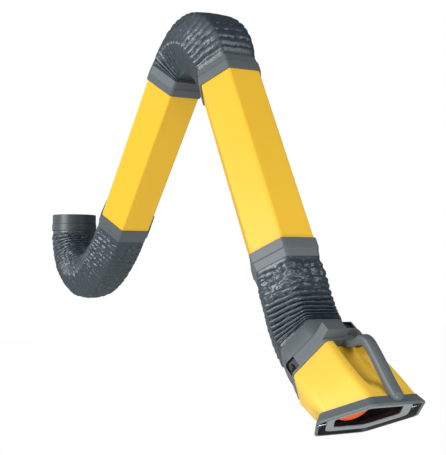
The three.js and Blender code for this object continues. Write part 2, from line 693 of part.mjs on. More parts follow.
function handle() {
  const points = HANDLE_ROUTE.map(([out, z]) => new THREE.Vector3(-out, 0, z));
  const route = new THREE.CatmullRomCurve3(points);
  const section = new THREE.Shape();
  section.absellipse(0, 0, ...HANDLE_HALF, 0, 360 * RAD);
  const bar = new THREE.ExtrudeGeometry(section, { steps: 18, extrudePath: route, curveSegments: 6 });
  const last = points[points.length - 1];
  const tip = new THREE.SphereGeometry(HANDLE_TIP, 12, 8).translate(last.x, 0, last.z);
  const grown = (flats, z) => mouthRing(flats + 2 * GAP, z).map((p) => p.applyMatrix4(mouthTurn));
  const frame = stack([
    grown(FRAME_TOP_FLATS, -FRAME_HEIGHT - 3), grown(FRAME_TOP_FLATS, -FRAME_HEIGHT),
    grown(MOUTH_FLATS, -4), grown(MOUTH_FLATS, 6),
  ]);
  const shell = stack(SHELL_STEPS.map((t) => hoodRing(t, -GAP, SHELL_END)));
  const ring = stack([-80, 0].map((z) => ringAt(hexagon(300, 10), z)));
  return part('handle', cut(join(bar, tip), frame, shell, ring), GREY_PLASTIC);
}

// Damper disc on a shaft across the hood, turned by a lever on the far side

function damper() {
  const rim = [
    [0, -DAMPER_HALF], [DAMPER_RADIUS, -DAMPER_HALF], [DAMPER_RADIUS, DAMPER_HALF],
    [0, 2 * DAMPER_HALF],
  ];
  const disc = revolve(rim);
  const hub = new THREE.CylinderGeometry(DAMPER_HUB, DAMPER_HUB, 2 * DAMPER_RADIUS - 8, 12);
  const round = (radius, length, y, steps) =>
    new THREE.CylinderGeometry(radius, radius, length, steps).translate(0, y, 0);
  const bore = round(SHAFT_RADIUS + GAP, 200, 0, 12);
  const shaft = round(SHAFT_RADIUS, SHAFT_LENGTH, SHAFT_SHIFT, 12);
  const bar = new THREE.BoxGeometry(...LEVER).translate(0, LEVER_Y, -14);
  const eye = round(BOSS[0], LEVER[1], LEVER_Y, 16);
  const socket = round(SHAFT_RADIUS + GAP, 40, 116, 12);
  return [
    part('damper_disc', cut(join(disc, hub), bore), ORANGE_PLASTIC),
    part('damper_shaft', shaft, ZINC_STEEL),
    part('damper_lever', cut(join(bar, eye), socket), BLACK_PLASTIC),
  ];
}

// Assembly

// Place of a pivot seen from a tube end, whose local Z points out of the tube
function fromEnd([x, z], [endX, endZ], turn) {
  const [dx, dz] = [x - endX, z - endZ];
  const [sin, cos] = [Math.sin(turn * RAD), Math.cos(turn * RAD)];
  return [dx * cos - dz * sin, dx * sin + dz * cos];
}

const along = ([x, z], turn, distance) =>
  [x + distance * Math.sin(turn * RAD), z + distance * Math.cos(turn * RAD)];

const upperTop = along(UPPER_FOOT, UPPER_LEAN, TUBE_LENGTH);
const forearmTurn = 180 - FOREARM_LEAN;
const forearmFoot = along(FOREARM_TOP, forearmTurn, TUBE_LENGTH);
const hoodTurn = 180 - HOOD_LEAN;
const cuffRear = along(HOOD_NECK, hoodTurn, CUFF_REAR);

const ends = {
  shoulder: [UPPER_FOOT, UPPER_LEAN + 180, 'upper_tube_lower_collar'],
  elbow: [upperTop, UPPER_LEAN, 'upper_tube_upper_collar'],
  elbowOuter: [FOREARM_TOP, forearmTurn + 180, 'forearm_tube_upper_collar'],
  wrist: [forearmFoot, forearmTurn, 'forearm_tube_lower_collar'],
};

function tubeEnd([origin, turn, name], makePlates) {
  return placed(...origin, turn, collar(name), makePlates((pivot) => fromEnd(pivot, origin, turn)));
}

const hoseStart = ([origin, turn]) => along(origin, turn, COLLAR_LENGTH + GAP);

const forkPlates = (joint, pivot) => (seen) =>
  cheeks(joint, tubeStrap(seen(pivot)), FOOT_HALF, FOOT_REAR, FOOT_FRONT);

const arm = new THREE.Group();
arm.add(
  ...connection(),
  hoseCollar(),
  shoulderBracket(),
  hose('shoulder_hose', [0, SWIVEL_END - GAP], 180, SHOULDER_PULL, hoseStart(ends.shoulder),
    UPPER_LEAN, SHOULDER_RIBS, 0),
  placed(...SHOULDER_PIVOT, 0, pivotSet('shoulder')),
  placed(...UPPER_FOOT, UPPER_LEAN, tube('upper_tube')),
  tubeEnd(ends.shoulder, forkPlates('shoulder', SHOULDER_PIVOT)),
  tubeEnd(ends.elbow, (seen) => tongue('elbow_tongue', seen(ELBOW_PIVOT))),
  hose('elbow_hose', hoseStart(ends.elbow), UPPER_LEAN, ELBOW_PULL, hoseStart(ends.elbowOuter),
    forearmTurn, ELBOW_RIBS, 1),
  placed(...ELBOW_PIVOT, 0, pivotSet('elbow')),
  placed(...FOREARM_TOP, forearmTurn, tube('forearm_tube')),
  tubeEnd(ends.elbowOuter, forkPlates('elbow', ELBOW_PIVOT)),
  tubeEnd(ends.wrist, (seen) => tongue('wrist_tongue', seen(WRIST_PIVOT))),
  hose('wrist_hose', hoseStart(ends.wrist), forearmTurn, WRIST_PULL, along(cuffRear, hoodTurn, -GAP),
    hoodTurn, WRIST_RIBS, 1),
  placed(...WRIST_PIVOT, 0, pivotSet('wrist')),
  placed(
    ...HOOD_NECK, hoodTurn, wristCuff(),
    cheeks('wrist', wristCheekOutline(), SPIGOT_BORE / 2 - GAP, ...WRIST_FOOT), neckRing(), neckClips(),
    hoodShell(), handle(), placed(0, MOUTH_DEPTH, MOUTH_SLANT, mouthFrame(), innerFlange(), mouthGuard()),
    placed(0, DAMPER_DEPTH, 0, damper()),
  ),
);

export default arm;
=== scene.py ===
"""Fume extraction arm: smooth tubes, moulded collars, pleated hoses and a flared hood on the CAD frame.

Metres, +Z up, +X along the reach, the origin in the middle of the connection's upper rim.
"""
import json
import math
from typing import NamedTuple

import bmesh
import bpy
from bpy.props import FloatProperty, FloatVectorProperty, IntProperty, PointerProperty
from mathutils import Matrix, Vector, noise


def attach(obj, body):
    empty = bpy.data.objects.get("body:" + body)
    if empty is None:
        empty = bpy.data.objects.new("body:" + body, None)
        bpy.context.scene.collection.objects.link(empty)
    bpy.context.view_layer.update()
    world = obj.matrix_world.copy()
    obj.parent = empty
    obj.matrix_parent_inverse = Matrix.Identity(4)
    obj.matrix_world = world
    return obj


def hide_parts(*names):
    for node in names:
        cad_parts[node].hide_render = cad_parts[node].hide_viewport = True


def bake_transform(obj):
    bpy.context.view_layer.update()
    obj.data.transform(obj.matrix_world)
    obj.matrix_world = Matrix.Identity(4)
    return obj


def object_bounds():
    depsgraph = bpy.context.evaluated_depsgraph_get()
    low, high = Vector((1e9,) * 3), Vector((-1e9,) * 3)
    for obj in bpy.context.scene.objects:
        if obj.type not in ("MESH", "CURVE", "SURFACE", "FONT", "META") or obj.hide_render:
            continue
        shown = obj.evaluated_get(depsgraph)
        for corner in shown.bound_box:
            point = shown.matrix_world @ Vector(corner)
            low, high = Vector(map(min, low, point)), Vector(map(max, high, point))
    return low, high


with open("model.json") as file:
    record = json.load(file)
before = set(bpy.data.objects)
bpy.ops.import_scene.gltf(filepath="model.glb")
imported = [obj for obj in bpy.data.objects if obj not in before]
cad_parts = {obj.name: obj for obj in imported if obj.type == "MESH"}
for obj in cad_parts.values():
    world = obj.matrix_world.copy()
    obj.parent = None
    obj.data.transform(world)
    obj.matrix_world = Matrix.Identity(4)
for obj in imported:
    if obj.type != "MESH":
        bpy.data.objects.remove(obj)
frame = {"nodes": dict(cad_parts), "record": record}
CAD_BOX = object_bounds()

bl_info = {
    "name": "Fume Extraction Arm",
    "version": (1, 0, 0),
    "blender": (4, 5, 0),
    "location": "3D View > Sidebar > Arm",
    "description": "Builds the visible pieces of a fume extraction arm round its CAD frame",
    "category": "Object",
}

MM = 0.001
JOINTS = {joint["name"]: joint for joint in frame["record"]["behaviour"]["joints"]}


def linear(hex_colour):
    """Linear RGB of an sRGB hex colour."""
    channels = [int(hex_colour[at:at + 2], 16) / 255 for at in (1, 3, 5)]
    return [c / 12.92 if c <= 0.04045 else ((c + 0.055) / 1.055) ** 2.4 for c in channels]


# Places that the frame gives: the hood's axis, and from it the hood's own upright frame
NECK = Vector(JOINTS["hood_swivel"]["pos_m"])
NECK_AXIS = Vector(JOINTS["hood_swivel"]["axis"])
HOOD_TURN = math.atan2(NECK_AXIS.x, NECK_AXIS.z)
HOOD = Matrix.Translation(NECK) @ Matrix.Rotation(HOOD_TURN, 4, "Y")

# Each tube: where its visible length starts, its lean from upright in degrees, its body, and the names
# of the collars at its start and its end
TUBES = {
    "upper": (Vector((0.502, 0, -0.0235)), 43, "upper_arm", ("lower", "upper")),
    "forearm": (Vector((1.2036, 0, 0.2876)), 150.3, "forearm", ("upper", "lower")),
}

# Sizes from here on are in millimetres. A profile is width across flats, or radius, and height
ROUND_STEPS = 96
ROD_SEGMENTS = 32
TUBE_WALL = 2.5
COLLAR_GRIP = 33
COLLAR_PROFILE = (
    (166, 0), (168.2, 0.5), (169, 1.6), (169, 25), (168.4, 26.3), (165.4, 28), (164.8, 29.4),
    (160, 48), (159.4, 49.4), (158, 50), (149, 50), (149, 58), (145, 58), (145, 33.3),
    (160.6, 33.3), (160.6, 0),
)
CONNECTION_PROFILE = (
    (80, -33), (80, -1), (79.4, -0.3), (78.6, 0), (76, 0), (75.3, -0.3), (75, -1), (75, -30),
    (70, -30), (70, -46), (73, -46), (73, -33),
)
HOSE_COLLAR_PROFILE = (
    (73.2, -76), (73.2, -59), (80.6, -59), (81.3, -58.4), (81.5, -57.6), (81.5, -35.4), (81.1, -34.1),
    (80, -33.3), (73.3, -33.3), (73.3, -37.3), (78, -37.3), (78, -55), (70.2, -55), (70.2, -76),
)
CUFF_REAR = -95
CUFF_FRONT = -41
CUFF_REAR_FLATS = 165
CUFF_SWELL = 22
CUFF_CORNER = 40
CUFF_STEPS = 12
CUFF_SPIGOT = (149, 145)
CUFF_SPIGOT_END = -103
CUFF_SPIGOT_CORNER = 14
JOURNAL = (160, 154)
JOURNAL_END = -26
JOURNAL_CORNER = 70
# The cuff and the ring get slimmer by this share from here, over this length towards the rear
REAR_SLIM = 0.09
SLIM_START = -8
SLIM_LENGTH = 50
NECK_RING_PROFILE = (
    (187, -40.4), (190.5, -39.4), (193, -36.5), (194, -33), (194, -1.6), (193.2, -0.5), (192, -0.3),
)
NECK_SOCKET = 181.4
SOCKET_GAP = 0.6
NECK_SHELF = -20
NECK_BORE = 164
BLOCK_OUTLINE = ((-80, -63), (-120, -56), (-118.5, 25), (-105, 32), (-92, 34), (-92, -50))
BLOCK_SPAN = (-36, -8)
BLOCK_POCKET = ((-125, -1, -34), (-115, 21, -13))
BLOCK_POCKET_DEPTH = 9
SIDE_POCKET = ((-24, 80, -38), (8, 130, -3))
SIDE_POCKET_DEPTH = 6
# Each latch's middle and size in the hood's frame
LATCHES = {
    "front": ((-112, 10, -23), (6, 9, 12)),
    "left": ((-6, -103.5, -19), (13, 6, 13)),
    "right": ((-6, 103.5, -19), (13, 6, 13)),
}
EDGE_BEVEL = 1.2
CORNER_STEPS = 8
FRONT_POINTS = 36
HOOD_CORNER = 15
FLANK_CORNER = 46
MOUTH_FLANK = 26
FLANK_SWELL = 0.07
HOOD_WALL = 3
HOOD_STEPS = 40
NECK_FLATS = 187
SPIGOT_OUTSIDE = ((180, -14), (180, -0.2))
SPIGOT_INSIDE = ((174, -4), (174, -14))
SHELL_END = 208
MOUTH_DEPTH = 160
MOUTH_SLANT = math.radians(33)
MOUTH_NARROW = 0.99
# The slanted mouth with Z pointing out of it: in the hood's frame in millimetres, and in the scene
MOUTH_TILT = Matrix.Translation((0, 0, MOUTH_DEPTH)) @ Matrix.Rotation(MOUTH_SLANT, 4, "Y")
MOUTH = HOOD @ Matrix.Translation((0, 0, MOUTH_DEPTH * MM)) @ Matrix.Rotation(MOUTH_SLANT, 4, "Y")
FRAME_HEIGHT = 23
SHELL_LIP = -14
SCOOP_DEPTH = 26
NECK_SCOOP = 17
SCOOP_EDGE = 0.85
SCOOP_WALL = 0.42
# Where the scoop has run out, and over what share of the hood it deepens and runs out
SCOOP_STOP = 0.9
SCOOP_FADE = 0.3
FRAME_PROFILE = (
    (213, -23), (213.8, -22.2), (236, -5), (237, -3.6), (237, -1), (236.4, -0.2), (235, 0),
    (226, 0), (224.6, -0.5), (224, -1.6), (219, -12), (209, -12.5), (209, -23),
)
FLANGE_PROFILE = (
    (188, -6.5), (188.6, -5.2), (187.6, -4), (185, -3.4), (154, -5.4), (151.5, -6), (150.6, -7.2),
    (151, -8.6), (154, -9), (186, -8),
)
POST_RADIUS = 1.5
POST_SPAN = (88, 109)
POST_DEPTH = -9.5
POST_SEGMENTS = 20
DAMPER_DEPTH = 70
DISC_PROFILE = (
    (0.01, -1.5), (66, -1.5), (66, 1.5), (63, 4), (57, 26), (53, 31), (46, 33.5), (0.01, 35),
)
HUB_RADIUS = 6
HUB_LENGTH = 124
BOSS_RADIUS = 9
# The shaft's bosses: one in the near corner, one that reaches the lever on the far side
BOSS_SPANS = ((-108, -91), (95, 123.5))
# The handle's middle line as distance out, distance aside and depth
HANDLE_ROUTE = (
    (92, 8, -9), (91, 8, 4), (97, 7, 18), (114, 4, 34), (132, 1, 48), (139, 0, 67), (132, 0, 104),
    (121, 0, 144), (112, 0, 177), (106, 0, 206),
)
HANDLE_ARM = 9.5
HANDLE_GRIP = 12.5
HANDLE_WIDE = 14
HANDLE_CHANNEL = 8
CHANNEL_WIDTH = 0.66
# Powers of the section's rounded square, on the arm and on the grip
ARM_SQUARE = 5
GRIP_SQUARE = 2.8
# Where along the route the arm starts to become the grip, and the shares over which it and the channel do
GRIP_START = 0.3
GRIP_FADE = 0.2
CHANNEL_FADE = 0.08
HANDLE_STEPS = 64
HANDLE_POINTS = 48
# The grip's rounded end stops just short of a quarter turn, so that its last ring stays open
CAP_STEPS = 6
CAP_TURN = math.pi / 2 * 0.98


class Hose(NamedTuple):
    """What sets a hose's shape. Ends are X and Z in millimetres, leans are degrees from upright.

    pulls are the reaches of the curve's handles. hexagonal is 0 where the hose starts round. crinkle is
    how rough the fabric is, spread how far the pleats stand apart on the outside of the bend, drawn the
    share whose pleats are pulled nearly flat, over 1 for all of it, and crowd how much the pleats crowd
    towards the end, 1 for not at all.
    """

    near: str
    far: str
    start: tuple
    lean: float
    pulls: tuple
    end: tuple
    end_lean: float
    pleats: int
    crinkle: float
    hexagonal: float = 1
    spread: float = 0
    drawn: float = 0
    crowd: float = 1


HOSES = {
    "shoulder": Hose("swivel", "upper_arm", (0, -59.3), 180, (180, 345), (467.9, -60.1), 43, 36, 0.7,
                     hexagonal=0, drawn=2),
    "elbow": Hose("upper_arm", "forearm", (894.1, 397.1), 43, (99, 136), (1178.8, 331), 150.3, 16, 0.6,
                  spread=17),
    "wrist": Hose("forearm", "hood_carrier", (1488.5, -211.8), 150.3, (90, 60), (1599, -388.7), 124, 13,
                  1.0, drawn=0.5, crowd=1.25),
}
HEX_POWER = 36
# The share of a hose over which its drawn-out part goes over into full pleats
DRAWN_FADE = 0.2
HOSE_CUFF = 12
HOSE_WALL = 1.6
# Least and greatest height of a pleat, where the bend pulls the pleats apart or presses them together
TIGHT_LIMITS = (0.65, 1.2)
CREST_POWER = 0.5
# The share of a pleat that lies under the hose's root
CREST_ROOT = 0.45
# Noise scales round the hose and along its pleats, and how much of each goes into the fabric
WANDER_SCALE = (2.4, 0.6)
WANDER = 0.26
DENT_SCALE = (6, 1.4)
DENT = 0.8
CREASE_SCALE = (10, 2.4)
CREASE = 0.5
# How much a crest smooths the creases, and a drawn-out hose flattens its pleats and deepens its creases
CREST_SMOOTHS = 0.6
TAUT_FLATTENS = 0.6
TAUT_CREASES = 0.6

# The name of each slot's material, once the finishes are made
FINISH_NAMES = {}


class ArmSizes(bpy.types.PropertyGroup):
    """Sizes that a user would change."""

    tube_flats: FloatProperty(
        name="Tube width", description="Across the flats of both tubes", default=0.160, unit="LENGTH")
    tube_length: FloatProperty(
        name="Tube length", description="Visible length of each tube", default=0.525, unit="LENGTH")
    tube_corner: FloatProperty(
        name="Tube corner", description="Radius of the tubes' corners", default=0.009, unit="LENGTH")
    hose_root: FloatProperty(
        name="Hose root", description="Across the flats between two pleats", default=0.156, unit="LENGTH")
    pleat_height: FloatProperty(
        name="Pleat height", description="How far a pleat stands out", default=0.010, unit="LENGTH")
    crinkle_height: FloatProperty(
        name="Crinkle height", description="Depth of the creases between pleats", default=0.003,
        unit="LENGTH")
    hose_points: IntProperty(
        name="Points round a hose", description="Points in each ring of a hose", default=160, min=24)


class ArmColours(bpy.types.PropertyGroup):
    """Colours that a user would change."""

    enamel: FloatVectorProperty(
        name="Tube enamel", description="Powder coat on the tubes", subtype="COLOR",
        default=linear("#F8C638"))
    hood: FloatVectorProperty(
        name="Hood plastic", description="Moulded hood shell", subtype="COLOR",
        default=linear("#F9CC42"))
    grey: FloatVectorProperty(
        name="Grey plastic", description="Collars, cuff, handle and frame", subtype="COLOR",
        default=linear("#565E62"))
    slate: FloatVectorProperty(
        name="Dark plastic", description="Round connection", subtype="COLOR",
        default=linear("#323C41"))
    hose: FloatVectorProperty(
        name="Hose fabric", description="Coated pleated fabric", subtype="COLOR",
        default=linear("#2E3C45"))
    disc: FloatVectorProperty(
        name="Damper disc", description="Moulded disc in the hood", subtype="COLOR",
        default=linear("#E8602F"))


def per_mm(size):
    """Texture scale at which one feature is that many millimetres wide."""
    return 1 / (size * MM)


def add_node(tree, kind, inputs=(), **settings):
    """Adds a node, sets its fields, and sets or links its inputs."""
    node = tree.nodes.new(kind)
    for field, value in settings.items():
        setattr(node, field, value)
    for name, value in dict(inputs).items():
        if isinstance(value, bpy.types.NodeSocket):
            tree.links.new(value, node.inputs[name])
        else:
            node.inputs[name].default_value = value
    return node


def new_material(name):
    """An empty node material and the piece's own coordinates."""
    material = bpy.data.materials.new(name)
    material.use_nodes = True
    tree = material.node_tree
    tree.nodes.clear()
    return material, tree, add_node(tree, "ShaderNodeTexCoord").outputs["Object"]


def shaded(colour, factor):
    """A colour with alpha, made lighter or darker."""
    return (*[min(channel * factor, 1) for channel in colour], 1)


def powder_coat(colour):
    """Polyester powder coat on sheet steel: a soft gloss over a faint orange-peel ripple."""
    material, tree, place = new_material("powder_coated_steel")
    drift = add_node(tree, "ShaderNodeTexNoise", {"Vector": place, "Scale": per_mm(180), "Detail": 2.0})
    # The ripple is about 1.5 mm wide, drawn at 5 mm so that it shows
    peel = add_node(tree, "ShaderNodeTexNoise", {"Vector": place, "Scale": per_mm(5), "Detail": 1.0})
    tint = add_node(tree, "ShaderNodeMix", {
        0: drift.outputs["Fac"], 6: shaded(colour, 0.97), 7: shaded(colour, 1.03)}, data_type="RGBA")
    gloss = add_node(tree, "ShaderNodeMapRange", {
        "Value": drift.outputs["Fac"], "To Min": 0.28, "To Max": 0.38})
    ripple = add_node(tree, "ShaderNodeBump", {
        "Height": peel.outputs["Fac"], "Distance": 0.12 * MM, "Strength": 0.25})
    shader = add_node(tree, "ShaderNodeBsdfPrincipled", {
        "Base Color": tint.outputs[2], "Roughness": gloss.outputs["Result"],
        "Normal": ripple.outputs["Normal"], "IOR": 1.5, "Specular IOR Level": 0.25})
    add_node(tree, "ShaderNodeOutputMaterial", {"Surface": shader.outputs["BSDF"]})
    return material


def moulded_plastic(name, colour, rough, grain_mm, spread=0.05):
    """Moulded plastic: an even satin with the mould's fine grain and a little handling wear."""
    material, tree, place = new_material(name)
    drift = add_node(tree, "ShaderNodeTexNoise", {"Vector": place, "Scale": per_mm(70), "Detail": 3.0})
    # Mould grain is under a millimetre, drawn coarser so that it shows
    grain = add_node(tree, "ShaderNodeTexNoise", {
        "Vector": place, "Scale": per_mm(grain_mm), "Detail": 2.0})
    tint = add_node(tree, "ShaderNodeMix", {
        0: drift.outputs["Fac"], 6: shaded(colour, 1 - spread), 7: shaded(colour, 1 + spread)},
        data_type="RGBA")
    gloss = add_node(tree, "ShaderNodeMapRange", {
        "Value": drift.outputs["Fac"], "To Min": rough - 0.05, "To Max": rough + 0.07})
    relief = add_node(tree, "ShaderNodeBump", {
        "Height": grain.outputs["Fac"], "Distance": 0.15 * MM, "Strength": 0.3})
    shader = add_node(tree, "ShaderNodeBsdfPrincipled", {
        "Base Color": tint.outputs[2], "Roughness": gloss.outputs["Result"],
        "Normal": relief.outputs["Normal"], "IOR": 1.53, "Specular IOR Level": 0.5})
    add_node(tree, "ShaderNodeOutputMaterial", {"Surface": shader.outputs["BSDF"]})
    return material


def coated_fabric(colour):
    """PVC-coated polyester over a wire: glossy, with sharp creases that catch the light."""
    material, tree, place = new_material("coated_hose_fabric")
    drift = add_node(tree, "ShaderNodeTexNoise", {"Vector": place, "Scale": per_mm(30), "Detail": 4.0})
    # Small dents that the fabric keeps from being folded
    dents = add_node(tree, "ShaderNodeTexNoise", {
        "Vector": place, "Scale": per_mm(11), "Detail": 3.0, "Distortion": 0.8})
    tint = add_node(tree, "ShaderNodeMix", {
        0: drift.outputs["Fac"], 6: shaded(colour, 0.7), 7: shaded(colour, 1.35)}, data_type="RGBA")
    gloss = add_node(tree, "ShaderNodeMapRange", {
        "Value": drift.outputs["Fac"], "To Min": 0.24, "To Max": 0.42})
    crumple = add_node(tree, "ShaderNodeBump", {
        "Height": dents.outputs["Fac"], "Distance": 3 * MM, "Strength": 0.35})
    shader = add_node(tree, "ShaderNodeBsdfPrincipled", {
        "Base Color": tint.outputs[2], "Roughness": gloss.outputs["Result"],
        "Normal": crumple.outputs["Normal"], "IOR": 1.54, "Specular IOR Level": 0.6})
    add_node(tree, "ShaderNodeOutputMaterial", {"Surface": shader.outputs["BSDF"]})
    return material


def zinc_plate(colour):
    """Zinc-plated steel: a dull metal with faint rolling marks."""
    material, tree, place = new_material("zinc_plated_steel")
    stretch = add_node(tree, "ShaderNodeMapping", {"Vector": place, "Scale": (1, 12, 1)})
    marks = add_node(tree, "ShaderNodeTexNoise", {
        "Vector": stretch.outputs["Vector"], "Scale": per_mm(14), "Detail": 3.0})
    tint = add_node(tree, "ShaderNodeMix", {
        0: marks.outputs["Fac"], 6: shaded(colour, 0.94), 7: shaded(colour, 1.06)}, data_type="RGBA")
    gloss = add_node(tree, "ShaderNodeMapRange", {
        "Value": marks.outputs["Fac"], "To Min": 0.32, "To Max": 0.48})
    shader = add_node(tree, "ShaderNodeBsdfPrincipled", {
        "Base Color": tint.outputs[2], "Roughness": gloss.outputs["Result"], "Metallic": 1.0})
    add_node(tree, "ShaderNodeOutputMaterial", {"Surface": shader.outputs["BSDF"]})
    return material


def make_finishes(colours):
    """Every finish by the record's slot name, and a paler copy of the grey for the flange: painted light,
    for the light that falls on it from below.
    """
    return {
        "yellow_enamel": powder_coat(colours.enamel),
        "yellow_plastic": moulded_plastic("yellow_moulded_abs", colours.hood, 0.36, 4),
        "grey_plastic": moulded_plastic("grey_moulded_abs", colours.grey, 0.46, 3),
        # A paler copy of the grey plastic: painted light, for the flange lit from below and in front
        "painted_lit_grey": moulded_plastic("grey_moulded_abs_painted_lit", linear("#848B8D"), 0.42, 3),
        "dark_plastic": moulded_plastic("dark_moulded_abs", colours.slate, 0.38, 3),
        "hose_fabric": coated_fabric(colours.hose),
        "black_plastic": moulded_plastic("black_moulded_nylon", linear("#17191A"), 0.5, 3),
        "orange_plastic": moulded_plastic("orange_moulded_abs", colours.disc, 0.42, 3),
        "zinc_steel": zinc_plate(linear("#B8BCC0")),
        "friction_lining": moulded_plastic("pressed_friction_fibre", linear("#5B4636"), 0.85, 2, 0.15),
        "white_nylon": moulded_plastic("white_moulded_nylon", linear("#E6E2D6"), 0.55, 3),
    }


def finish_for(slot):
    """The finish that a slot was given."""
    return bpy.data.materials[FINISH_NAMES[slot]]


def smooth(share):
    """A share from 0 to 1 with a soft start and end."""
    held = min(max(share, 0), 1)
    return held * held * (3 - 2 * held)


def rounded_hexagon(flats, corner, arc=6, front=0, flank=None):
    """Outline in millimetres with two flats across X, and extra points along the front flat.

    flank is the radius of the four corners that aren't beside the front flat.
    """
    points = []
    for side in range(6):
        radius = corner if flank is None or side in (1, 2) else flank
        reach = (flats / 2 - radius) / math.cos(math.radians(30))
        aim = math.radians(90 + 60 * side)
        for step in range(arc + 1):
            turn = aim + (step / arc - 0.5) * math.radians(60)
            points.append((reach * math.cos(aim) + radius * math.cos(turn),
                           reach * math.sin(aim) + radius * math.sin(turn)))
        if side == 1 and front:
            x, y = points[-1]
            points += [(x, y * (1 - 2 * step / front)) for step in range(1, front)]
    return points


def at_height(outline, z):
    """An outline as points at one height."""
    return [Vector((x, y, z)) for x, y in outline]


def set_ring(loop, points, place):
    """Puts a loop's vertices where a ring in millimetres says."""
    for vert, point in zip(loop, points):
        vert.co = place @ (Vector(point) * MM)


def loop_edges(bm, loop):
    """The edges round a loop of vertices."""
    return [bm.edges.get((a, b)) for a, b in zip(loop, loop[1:] + loop[:1])]


def grow(bm, rings, place, close=True):
    """Extrudes a closed loop through rings, and bridges the last one to the first."""
    loop = bmesh.ops.create_circle(bm, segments=len(rings[0]), radius=1)["verts"]
    set_ring(loop, rings[0], place)
    first = loop
    for ring in rings[1:]:
        grown = bmesh.ops.extrude_edge_only(bm, edges=loop_edges(bm, loop))["geom"]
        fresh = {item for item in grown if isinstance(item, bmesh.types.BMVert)}
        loop = [next(edge.other_vert(vert) for edge in vert.link_edges
                     if edge.other_vert(vert) in fresh) for vert in loop]
        set_ring(loop, ring, place)
    ends = [loop_edges(bm, first), loop_edges(bm, loop)]
    if close:
        bmesh.ops.bridge_loops(bm, edges=ends[0] + ends[1])
    else:
        bmesh.ops.holes_fill(bm, edges=ends[0] + ends[1], sides=0)


def revolve(bm, profile):
    """Spins a closed profile of radius and height in millimetres about Z."""
    verts = [bm.verts.new((radius * MM, 0, z * MM)) for radius, z in profile]
    edges = [bm.edges.new(pair) for pair in zip(verts, verts[1:] + verts[:1])]
    bmesh.ops.spin(bm, geom=verts + edges, cent=(0, 0, 0), axis=(0, 0, 1), angle=2 * math.pi,
                   steps=ROUND_STEPS, use_merge=True)
    bmesh.ops.remove_doubles(bm, verts=bm.verts, dist=1e-6)


def add_rod(bm, radius, length, place, segments=ROD_SEGMENTS):
    """Adds a round rod along the Z of a place, with sizes in millimetres."""
    bmesh.ops.create_cone(bm, cap_ends=True, segments=segments, radius1=radius * MM, radius2=radius * MM,
                          depth=length * MM, matrix=place)


def piece(name, bm, slot, *nodes, body=None, finish=None, shade_finish=None, crease=35):
    """Makes a mesh an object with a finish, on a body, in place of its CAD nodes.

    The second finish goes on the faces whose material index is 1; it is painted shade, a dark finish in
    the pockets, inside the hood and round the flange's slot. crease is the angle in degrees from which an
    edge is sharp.
    """
    bmesh.ops.recalc_face_normals(bm, faces=bm.faces)
    mesh = bpy.data.meshes.new(name)
    bm.to_mesh(mesh)
    bm.free()
    mesh.shade_smooth()
    mesh.set_sharp_from_angle(angle=math.radians(crease))
    obj = bpy.data.objects.new(name, mesh)
    bpy.context.scene.collection.objects.link(obj)
    mesh.materials.append(finish_for(finish or slot))
    if shade_finish:
        mesh.materials.append(finish_for(shade_finish))
    even = obj.modifiers.new("even_normals", "WEIGHTED_NORMAL")
    even.keep_sharp = True
    if body:
        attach(obj, body)
    if nodes:
        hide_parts(*nodes)
    return obj


def hex_shell(bm, profile, corner, place):
    """A closed hexagonal wall from a profile."""
    grow(bm, [at_height(rounded_hexagon(flats, corner), z) for flats, z in profile], place)


def tube_line(foot, lean):
    """The place of a tube's start, with Z along the tube."""
    return Matrix.Translation(foot) @ Matrix.Rotation(math.radians(lean), 4, "Y")


def press_pocket(bm, box, out, depth):
    """Cuts a mesh along a box in millimetres and pushes the faces inside it in, and gives the pocket's
    floor and walls the second finish as painted shade.
    """
    low, high = (Vector(corner) * MM for corner in box)
    for axis in range(3):
        if abs(out[axis]) > 0.5:
            continue
        normal = Vector([float(axis == k) for k in range(3)])
        for corner in (low, high):
            bmesh.ops.bisect_plane(bm, geom=bm.verts[:] + bm.edges[:] + bm.faces[:], dist=1e-7,
                                   plane_co=corner, plane_no=normal)
    bmesh.ops.recalc_face_normals(bm, faces=bm.faces)
    chosen = []
    for face in bm.faces:
        middle = face.calc_center_median()
        if face.normal.dot(out) > 0.3 and all(low[k] < middle[k] < high[k] for k in range(3)):
            chosen.append(face)
    grown = bmesh.ops.extrude_face_region(bm, geom=chosen)["geom"]
    bmesh.ops.delete(bm, geom=chosen, context="FACES")
    floor = [item for item in grown if isinstance(item, bmesh.types.BMVert)]
    bmesh.ops.translate(bm, verts=floor, vec=-depth * MM * out)
    # The pocket's floor and walls take the second finish: painted shade in the recess
    for vert in floor:
        for face in vert.link_faces:
            face.material_index = 1


class ARM_OT_finishes(bpy.types.Operator):
    """Make every finish and give it to the CAD nodes"""

    bl_idname = "arm.finishes"
    bl_label = "Finishes"

    def execute(self, context):
        for slot, material in make_finishes(context.scene.arm_colours).items():
            FINISH_NAMES[slot] = material.name
        for subpart in frame["record"]["subparts"]:
            mesh = frame["nodes"][subpart["node"]].data
            mesh.materials.clear()
            mesh.materials.append(finish_for(subpart["material_slot"]))
        return {"FINISHED"}


def bezier(points, t):
    """A point on a cubic curve and the way it heads there."""
    a, b, c, d = points
    s = 1 - t
    point = s ** 3 * a + 3 * s * s * t * b + 3 * s * t * t * c + t ** 3 * d
    heading = s * s * (b - a) + 2 * s * t * (c - b) + t * t * (d - c)
    return point, heading.normalized()


def even_steps(points, count):
    """Curve parameters that step evenly along its length."""
    fine = 600
    marks = [bezier(points, step / fine)[0] for step in range(fine + 1)]
    run = [0.0]
    for before, after in zip(marks, marks[1:]):
        run.append(run[-1] + (after - before).length)
    steps, at = [], 0
    for step in range(count + 1):
        goal = run[-1] * step / count
        while at < fine - 1 and run[at + 1] < goal:
            at += 1
        steps.append((at + (goal - run[at]) / (run[at + 1] - run[at])) / fine)
    return steps, run[-1]


def hexagon_reach(turn):
    """Radius of a softened hexagon of unit half width, with flats across X."""
    walls = [abs(math.cos(turn - math.radians(60 * k))) ** HEX_POWER for k in range(3)]
    return sum(walls) ** (-1 / HEX_POWER)


